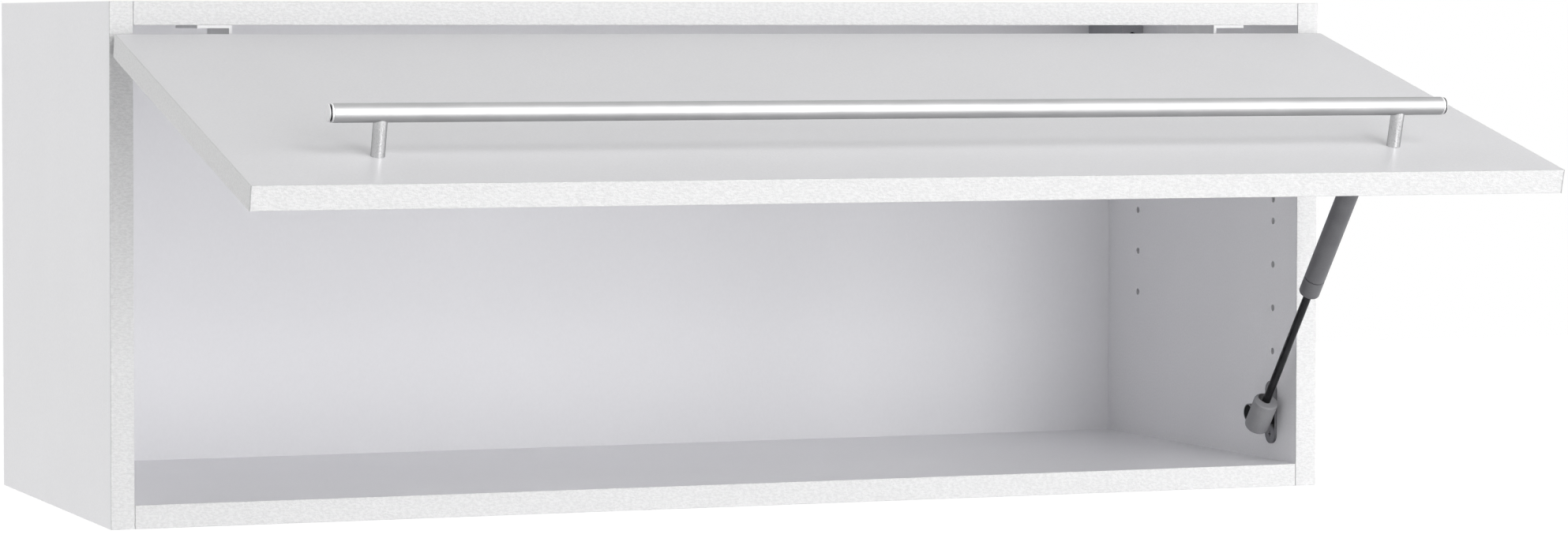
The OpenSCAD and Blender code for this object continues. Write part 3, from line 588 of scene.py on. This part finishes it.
# the top and bottom strips end a joint short of the side strips
bands = {"thick": 0.0008, "round": 0.0004, "joint": 0.0004}


def carcassBands():
    look = bands
    fronts = {"side_panel_left": 0, "side_panel_right": 0, "top_panel": look["joint"],
              "bottom_panel": look["joint"]}
    strips = []
    for nodeName, joint in fronts.items():
        low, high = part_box(nodeName)
        strip = block("strip", (low.x + joint, frontY, low.z),
                      (high.x - joint, frontY + look["thick"], high.z))
        roundPicked(strip, lambda corner: corner.y < frontY + look["thick"] / 2, look["round"])
        # the sides take the grey finish: seam lines, and painted shade in the joints
        twoFinishes(strip, "band", "cut", lambda face: abs(face.normal.y) < sideways)
        strips.append(smooth(strip))
    return finishPiece(joinAll("carcassEdgeBands", strips), "carcass", "edge_band", "band",
                       "carcass_edge_bands")


# past is how far the cutter goes beyond the board, heel and room set the slot's ends by the hook's
hookSlot = {"past": 0.01, "room": 0.0063, "heel": 0.012}


def backPanel():
    look = hookSlot
    piece = block("backPanel", backLow, backHigh)
    twoFinishes(piece, "back", "hardboard", lambda face: face.normal.y >= -straight)
    cutters = []
    for nodeName in ("hanger_hook_left", "hanger_hook_right"):
        low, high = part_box(nodeName)
        room = Vector(((high.x - low.x) / 2, look["past"], look["room"]))
        cutters.append(block("cutter", (low.x - room.x, backLow.y - room.y,
                                        low.z + look["heel"] - room.z),
                             (high.x + room.x, backHigh.y + room.y, high.z + room.z)))
    combine(piece, cutters, "DIFFERENCE")
    return finishPiece(piece, "carcass", "back_board", "back", "back_panel")


sidePanel("Left", "side_panel_left")
sidePanel("Right", "side_panel_right")
deckPanel("topPanel", "top_panel", True)
deckPanel("bottomPanel", "bottom_panel", False)
carcassBands()
backPanel()
print("carcass made")


# flap, drawn closed with the hinge edge of its inner face at the origin, then turned up

flap = {"open": 75.1, "thick": 0.016, "height": 0.349, "bandThick": 0.0008, "bandRound": 0.00045}
openAngle = math.radians(flap["open"])
flapLow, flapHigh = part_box("flap_edge_bands")
flapWidth = flapHigh.x - flapLow.x
hingeEdge = Vector((0, flapHigh.y, flapHigh.z - flap["thick"] * math.sin(openAngle)))

# along runs from the hinge edge down to the bar's axis
handle = {"radius": 0.006, "length": 0.772, "bore": 0.0048, "seam": 0.00018, "standoff": 0.0277,
          "along": 0.2897, "capLength": 0.003, "capBevel": 0.0005, "grooveFrom": 0.0017,
          "grooveTo": 0.0006, "grooveDepth": 0.0011, "spigot": 0.008, "spigotRoom": 0.0002,
          "postX": 0.352, "postRadius": 0.0045, "postRound": 0.00025, "saddleReach": 0.02,
          "screwRadius": 0.00202, "screwDepth": 0.00802, "screwPast": 0.01}


def onFlap(piece):
    return place(piece, hingeEdge, -openAngle)


def flapPanel():
    look = flap
    half, past, down = flapWidth / 2 - look["bandThick"], handle["screwPast"], -handle["along"]
    piece = block("flapPanel", (-half, -look["thick"], look["bandThick"] - look["height"]),
                  (half, 0, -look["bandThick"]))
    cutters = [rod("cutter", (x, -look["thick"] - past, down), (x, past, down),
                   handle["screwRadius"], sides=24) for x in (-handle["postX"], handle["postX"])]
    combine(piece, cutters, "DIFFERENCE")
    return finishPiece(onFlap(smooth(piece)), "flap", "coated_board", "board", "flap_panel")


def flapBands():
    # the end strips run the full height and show their cut ends at the bottom, grey as painted shade
    look = flap
    half, thin, tall = flapWidth / 2, look["bandThick"], look["height"]
    spans = [((-half, -tall), (-half + thin, 0), lambda c: c.x < -half + thin / 2, True),
             ((half - thin, -tall), (half, 0), lambda c: c.x > half - thin / 2, True),
             ((-half + thin, -tall), (half - thin, -tall + thin), lambda c: c.z < -tall + thin / 2,
              False),
             ((-half + thin, -thin), (half - thin, 0), lambda c: c.z > -thin / 2, False)]
    strips = []
    for low, high, outside, atEnd in spans:
        strip = block("strip", (low[0], -look["thick"], low[1]), (high[0], 0, high[1]))
        roundPicked(strip, outside, look["bandRound"])
        twoFinishes(strip, "band", "cut", lambda face: atEnd and face.normal.z < -straight)
        strips.append(smooth(strip))
    return finishPiece(onFlap(joinAll("flapEdgeBands", strips)), "flap", "edge_band", "band",
                       "flap_edge_bands")


def liftToBar(piece):
    return place(piece, (0, -flap["thick"] - handle["standoff"], -handle["along"]))


def handleBar():
    look = handle
    half, radius, seam = look["length"] / 2 - look["capLength"], look["radius"], look["seam"]
    rings = [(-half, look["bore"]), (-half, radius - seam), (seam - half, radius),
             (half - seam, radius), (half, radius - seam), (half, look["bore"]),
             (-half, look["bore"])]
    piece = liftToBar(smooth(lieAlong(turned("handleBar", rings), 1)))
    return finishPiece(onFlap(piece), "flap", "satin_aluminium", "bar", "handle_bar")


def darkRing(piece, finish, low, high):
    # a turned piece whose faces between the two heights take the blackened finish: a dark joint on the rod guide,
    # painted shade in the groove of the handle caps
    return twoFinishes(piece, finish, "darkSteel", lambda face: low < face.center.z < high)


def handleCaps():
    # a spigot in the tube, a head with a groove round it whose faces are painted dark as shade, and a rounded end
    look = handle
    end, radius, seam, bevel = look["length"] / 2, look["radius"], look["seam"], look["capBevel"]
    neck, spigot = end - look["capLength"], look["bore"] - look["spigotRoom"]
    ringLow, ringHigh = end - look["grooveFrom"], end - look["grooveTo"]
    rings = [(neck - look["spigot"], spigot), (neck, spigot), (neck, radius - seam),
             (neck + seam, radius), (ringLow, radius), (ringLow, radius - look["grooveDepth"]),
             (ringHigh, radius - look["grooveDepth"]), (ringHigh, radius - bevel * 0.7),
             (end - bevel * 0.3, radius - bevel), (end, radius - bevel * 1.6)]
    caps = []
    for side in (-1, 1):
        cap = darkRing(turned("cap", rings), "cap", ringLow, ringHigh)
        caps.append(liftToBar(smooth(lieAlong(cap, side), angle=25)))
    return finishPiece(onFlap(joinAll("handleEndCaps", caps)), "flap", "satin_aluminium", "cap",
                       "handle_end_caps")


def handlePosts():
    # each post is cut round by the bar and has the screw's room in its foot
    look = handle
    face, down = -flap["thick"], -look["along"]
    bar = face - look["standoff"]
    posts = []
    for x in (-look["postX"], look["postX"]):
        post = rod("post", (x, face, down), (x, bar, down), look["postRadius"])
        roundPicked(post, lambda corner: corner.y > face - over, look["postRound"], segments=2)
        saddle = rod("cutter", (x - look["saddleReach"], bar, down),
                     (x + look["saddleReach"], bar, down), look["radius"], sides=96)
        screwRoom = rod("cutter", (x, face + over, down), (x, face - look["screwDepth"], down),
                        look["screwRadius"], sides=24)
        combine(post, [saddle, screwRoom], "DIFFERENCE")
        posts.append(smooth(post))
    return finishPiece(onFlap(joinAll("handlePosts", posts)), "flap", "satin_aluminium", "post",
                       "handle_posts")


flapPanel()
flapBands()
handleBar()
handleCaps()
handlePosts()
print("flap and handle made")


# gas strut, drawn upright on the Z axis from the point of the axis nearest to the lower ball

# reach is where the guide starts, inside how far the rod goes on past that
strut = {"openLength": 0.26125, "neck": 0.014, "offset": 0.0055, "reach": 0.1212, "inside": 0.021,
         "tube": 0.0075, "tubeWall": 0.0014, "tubeRound": 0.0003, "guide": 0.0145,
         "guideBevel": 0.0012, "guideSeam": 0.0005, "guideLip": 0.0008, "guideRoom": 0.00004,
         "rod": 0.003, "rodSeat": 0.0056, "rodRound": 0.0004, "boreRoom": 0.00005}
slide = Vector(joints["strut_slide"]["axis"])
tilt = math.atan2(-slide.y, slide.z)
lowerBall = Vector(joints["strut_swing"]["pos_m"])
strutFoot = lowerBall - Vector((0, strut["offset"] * math.cos(tilt),
                                strut["offset"] * math.sin(tilt)))


def onStrut(piece):
    return place(piece, strutFoot, tilt)


def strutTube():
    look = strut
    low, high = look["reach"] + look["guide"], look["openLength"] - look["neck"]
    outer, inner, soft = look["tube"], look["tube"] - look["tubeWall"], look["tubeRound"]
    rings = [(low, inner), (low, outer - soft), (low + soft, outer), (high - soft, outer),
             (high, outer - soft), (high, inner), (low, inner)]
    piece = smooth(turned("strutTube", rings))
    return finishPiece(onStrut(piece), "strut_tube_end", "strut_grey", "paint", "strut_tube")


def rodGuide():
    # bevelled at its open end, with a dark joint and a lip inside the tube at the other
    look = strut
    low, high, lip = look["reach"], look["reach"] + look["guide"], look["guideLip"]
    outer, bore = look["tube"], look["rod"] + look["boreRoom"]
    bevel, seam = look["guideBevel"], look["guideSeam"]
    rings = [(low, bore), (low, outer - bevel), (low + bevel * 0.4, outer - bevel * 0.25),
             (low + bevel, outer), (high - seam, outer), (high - seam * 0.7, outer - seam),
             (high, outer - seam), (high + lip, outer - look["tubeWall"] - look["guideRoom"]),
             (high + lip, bore), (low, bore)]
    piece = darkRing(turned("strutRodGuide", rings), "paint", high - seam * 0.75, high)
    return finishPiece(onStrut(smooth(piece, angle=25)), "strut_tube_end", "strut_grey", "paint",
                       "strut_rod_guide")


def pistonRod():
    look = strut
    low, high = look["rodSeat"], look["reach"] + look["inside"]
    radius, soft = look["rod"], look["rodRound"]
    rings = [(low, radius - soft), (low + soft, radius), (high - soft, radius),
             (high, radius - soft)]
    piece = smooth(turned("pistonRod", rings, sides=64))
    return finishPiece(onStrut(piece), "strut_rod_end", "rod_steel", "rod", "strut_rod")


# rise is how far the cup's rim stands above the ball, past how far a cutter goes on above that
socket = {"cup": 0.009, "rise": 0.0167, "length": 0.0266, "hole": 0.0049, "holeBack": 0.0032,
          "holeFloor": 0.0095, "foot": 0.003, "rim": 0.0014, "ballRoom": 0.00505, "mouth": 0.0043,
          "barrel": 0.0068, "barrelIn": 0.0076, "barrelOut": 0.0055, "barrelRound": 0.0004,
          "plug": 0.006, "plugDepth": 0.0016, "plugRound": 0.0006, "baseRound": 0.0005,
          "past": 0.005}


def cupBody():
    # round at its foot, a little softened at its rim
    look = socket
    low, high, radius = look["rise"] - look["length"], look["rise"], look["cup"]
    foot, rim = look["foot"], look["rim"]
    turns = [math.radians(15 * step) for step in range(7)]
    rings = [(low + foot - foot * math.cos(turn), radius - foot + foot * math.sin(turn))
             for turn in turns]
    rings += [(high - rim, radius), (high - rim * 0.45, radius - rim * 0.2),
              (high - rim * 0.1, radius - rim * 0.7), (high, radius - rim * 1.3)]
    return turned("rodCup", rings)


def rodCup():
    # the cup with its cross barrel, hollowed for the ball, its mouth, the rod and the plug
    look = socket
    y, back, front = strut["offset"], -look["barrelIn"], look["barrelOut"]
    recess, radius, soft = look["plug"] + hair, look["barrel"], look["barrelRound"]
    rings = [(look["plugDepth"] + back, recess), (back, recess), (back, radius - soft),
             (soft + back, radius), (front - soft, radius), (front, radius - soft)]
    barrel = place(lieAlong(turned("barrel", rings), 1), (0, y, 0))
    cup = cupBody()
    combine(cup, [barrel], "UNION")
    bpy.ops.object.select_all(action="DESELECT")
    bpy.ops.mesh.primitive_uv_sphere_add(segments=48, ring_count=24, radius=look["ballRoom"],
                                         location=(0, y, 0), rotation=(0, math.pi / 2, 0))
    seat = settle("cutter")
    mouth = rod("cutter", (0, y, 0), (look["cup"] * 2, y, 0), look["mouth"], sides=48)
    hole = rod("cutter", (0, look["holeBack"], look["holeFloor"]),
               (0, look["holeBack"], look["rise"] * 2), look["hole"], sides=96)
    rodRoom = rod("cutter", (0, 0, strut["rodSeat"] - hair), (0, 0, look["rise"] + look["past"]),
                  strut["rod"] + hair)
    combine(cup, [seat, mouth, hole, rodRoom], "DIFFERENCE")
    return finishPiece(onStrut(smooth(cup, angle=30)), "strut_rod_end", "strut_grey", "cupPaint",
                       "strut_lower_socket")


def barrelPlug():
    look = socket
    deep, radius, soft = look["plugDepth"], look["plug"], look["plugRound"]
    rings = [(0, radius), (deep - soft, radius), (deep - soft * 0.3, radius - soft * 0.3),
             (deep, radius - soft)]
    piece = place(lieAlong(turned("barrelPlug", rings), -1),
                  (deep - look["barrelIn"], strut["offset"], 0))
    combine(piece, [cupBody()], "DIFFERENCE")
    return finishPiece(onStrut(smooth(piece, angle=30)), "strut_rod_end", "black_plastic", "black",
                       "strut_socket_plug")


def studBase():
    low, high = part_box("strut_stud_base")
    piece = block("strutStudBase", low, high)
    roundPicked(piece, lambda corner: corner.x < (low.x + high.x) / 2, socket["baseRound"])
    neckRoom = rod("cutter", (low.x - over, lowerBall.y, lowerBall.z),
                   (high.x + over, lowerBall.y, lowerBall.z), strut["rod"] + hair, sides=48)
    combine(piece, [neckRoom], "DIFFERENCE")
    return finishPiece(smooth(piece, angle=30), "carcass", "black_plastic", "black",
                       "strut_stud_base")


strutTube()
rodGuide()
pistonRod()
rodCup()
barrelPlug()
studBase()
print("gas strut made")


# small metal parts: copies of the CAD nodes, merged, with edges rounded by the width given

softened = {"strut_wall_plate": 0.0004, "strut_upper_socket": 0, "strut_lower_stud": 0,
            "strut_upper_stud": 0, "strut_flap_bracket": 0.0003, "hinge_plate_left": 0.0003,
            "hinge_plate_right": 0.0003, "long_link_left": 0.0003, "long_link_right": 0.0003,
            "short_link_left": 0.0003, "short_link_right": 0.0003, "flap_bracket_left": 0.0003,
            "flap_bracket_right": 0.0003, "hanger_hook_left": 0.0003,
            "hanger_hook_right": 0.0003, "hanger_housing_left": 0.0005,
            "hanger_housing_right": 0.0005, "plate_pivot_pins": 0.0003,
            "flap_pivot_pins": 0.0003, "handle_screws": 0.0002, "cam_housings": 0,
            "strut_plate_screws": 0, "hinge_plate_screws": 0, "flap_bracket_screws": 0,
            "strut_bracket_screws": 0, "hanger_height_screws": 0.0002, "dowels": 0,
            "cam_bolts": 0, "strut_piston": 0, "strut_piston_seal": 0}
slotFinish = {"beech": "beech", "zinc": "zinc", "steel": "steel", "hanger_grey": "hanger",
              "seal_rubber": "rubber", "white_steel": "powder"}
ownFinish = {"strut_wall_plate": "plate", "strut_plate_screws": "plate",
             "hanger_height_screws": "darkSteel", "strut_upper_socket": "cupPaint"}
softening = {"merge": 2e-6, "flat": 1, "bevelFrom": 50, "smoothTo": 32}   # metres, then degrees


def softenedCopy(nodeName, width):
    look = softening
    words = nodeName.split("_")
    name = words[0] + "".join(word.title() for word in words[1:])
    piece = bpy.data.objects.new(name, nodes[nodeName].data.copy())
    bpy.context.scene.collection.objects.link(piece)
    keepOnly(piece)
    bpy.ops.object.mode_set(mode="EDIT")
    bpy.ops.mesh.select_all(action="SELECT")
    bpy.ops.mesh.remove_doubles(threshold=look["merge"])
    bpy.ops.mesh.dissolve_limited(angle_limit=math.radians(look["flat"]))
    bpy.ops.object.mode_set(mode="OBJECT")
    if width:
        useModifier(piece, "BEVEL", width=width, segments=2, limit_method="ANGLE",
                    angle_limit=math.radians(look["bevelFrom"]), use_clamp_overlap=True,
                    loop_slide=False)
    smooth(piece, look["smoothTo"])
    piece.data.materials.clear()
    slotName = slotOf[nodeName]
    finish = ownFinish.get(nodeName) or slotFinish[slotName]
    return finishPiece(piece, bodyOf[nodeName], slotName, finish, nodeName)


def paintScrewRecessShade(piece):
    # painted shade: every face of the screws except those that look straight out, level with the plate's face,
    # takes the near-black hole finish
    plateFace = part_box("strut_wall_plate")[0].x + 10 * hair
    piece.data.materials.append(finishes["paintedHoleShade"])
    for face in piece.data.polygons:
        bright = face.normal.x < -straight and face.center.x < plateFace
        face.material_index = 0 if bright else 1


for nodeName, width in softened.items():
    piece = softenedCopy(nodeName, width)
    if nodeName == "strut_plate_screws":
        paintScrewRecessShade(piece)
print("small parts made:", len(softened))


# floor, light and camera

def seenDirectly(start):
    # 1 for camera, glossy and transmission rays
    path = start.node("ShaderNodeLightPath", output="Is Camera Ray")
    glossy = Wire(start.tree, path.socket.node.outputs["Is Glossy Ray"])
    through = Wire(start.tree, path.socket.node.outputs["Is Transmission Ray"])
    return spread(path + glossy + through, 0, 1)


floorLook = {"drop": 2.2, "size": 60, "deep": (0.84, 0.84, 0.84), "pale": (0.86, 0.86, 0.86),
             "mottle": 0.4, "glow": 1.17, "glowShare": 0.86}


def paleFloor():
    look = floorLook
    bpy.ops.object.select_all(action="DESELECT")
    bpy.ops.mesh.primitive_plane_add(size=look["size"],
                                     location=(0, 0, cadBox[0][2] - look["drop"]))
    piece = settle("paleFloor")
    material, start, point = startFinish("paleFloor")
    colour = tint(grain(point, look["mottle"], detail=3), look["deep"], look["pale"], 0.2)
    dull = start.node("ShaderNodeBsdfDiffuse", inputs={"Color": colour})
    glow = start.node("ShaderNodeEmission", inputs={"Strength": look["glow"]})
    surface = start.node("ShaderNodeMixShader",
                         inputs={0: seenDirectly(start) * look["glowShare"], 1: dull, 2: glow})
    # clear from underneath, so that the cabinet can be seen from below
    underneath = start.node("ShaderNodeNewGeometry", output="Backfacing")
    clear = start.node("ShaderNodeBsdfTransparent")
    surface = start.node("ShaderNodeMixShader", inputs={0: underneath, 1: surface, 2: clear})
    start.node("ShaderNodeOutputMaterial", inputs={"Surface": surface})
    piece.data.materials.append(material)


skyLook = {"all": 0.08, "behindLeft": 2.15, "x": 0.82, "y": 0.57}


def skyLight():
    # an even level and one soft glow from behind the left side
    look = skyLook
    world = bpy.data.worlds.new("studioSky")
    bpy.context.scene.world = world
    world.use_nodes = True
    world.node_tree.nodes.clear()
    start = Wire(world.node_tree)
    point = start.node("ShaderNodeTexCoord", output="Generated")
    towards = start.node("ShaderNodeSeparateXYZ", inputs={0: point})
    x, y = (Wire(start.tree, socket) for socket in towards.socket.node.outputs[:2])
    glow = spread(y * look["y"] - x * look["x"], 0, 1)
    level = glow * glow * look["behindLeft"] + look["all"]
    lit, white = (start.node("ShaderNodeBackground",
                             inputs={"Color": (1, 1, 1, 1), "Strength": strength})
                  for strength in (level, 1.0))
    surface = start.node("ShaderNodeMixShader", inputs={0: seenDirectly(start), 1: lit, 2: white})
    start.node("ShaderNodeOutputWorld", inputs={"Surface": surface})


# each lamp: degrees right of the front, degrees up, width, height and power
lamps = {"frontBox": (8, 1, 3.3, 3.6, 122), "highBox": (0, 45, 3.6, 3.6, 20),
         "tallStrip": (54, 7, 1.35, 6.4, 79), "tallBox": (22, 20, 3.6, 6.7, 160)}
lampPlace = {"centre": (0, -0.3, 0.2), "distance": 6.0}


def softLamps():
    for name, (right, up, width, height, power) in lamps.items():
        right, up = math.radians(right), math.radians(up)
        towards = Vector((math.sin(right) * math.cos(up), -math.cos(right) * math.cos(up),
                          math.sin(up)))
        spot = Vector(lampPlace["centre"]) + towards * lampPlace["distance"]
        bpy.ops.object.light_add(type="AREA", location=spot,
                                 rotation=towards.to_track_quat("Z", "Y").to_euler())
        lamp = bpy.context.object
        lamp.name = name
        lamp.data.shape = "RECTANGLE"
        lamp.data.size, lamp.data.size_y = width, height
        lamp.data.energy = power


# the photograph's view; down and right in radians
view = {"spot": (-1.18993, -3.37295, 0.33558), "down": 0.0350, "right": 0.34997,
        "lens": 107.766, "sensor": 36, "shiftX": 0.0951, "shiftY": -0.0504, "farEnd": 100}


def photoCamera():
    look = view
    bpy.ops.object.camera_add(location=look["spot"],
                              rotation=(math.pi / 2 - look["down"], 0, -look["right"]))
    made = bpy.context.object
    made.name = "photoCamera"
    made.data.sensor_width = look["sensor"]
    made.data.lens = look["lens"]
    made.data.shift_x, made.data.shift_y = look["shiftX"], look["shiftY"]
    made.data.clip_end = look["farEnd"]
    bpy.context.scene.camera = made


paleFloor()
skyLight()
softLamps()
photoCamera()
bpy.context.scene.view_settings.view_transform = "Standard"
print("studio made")
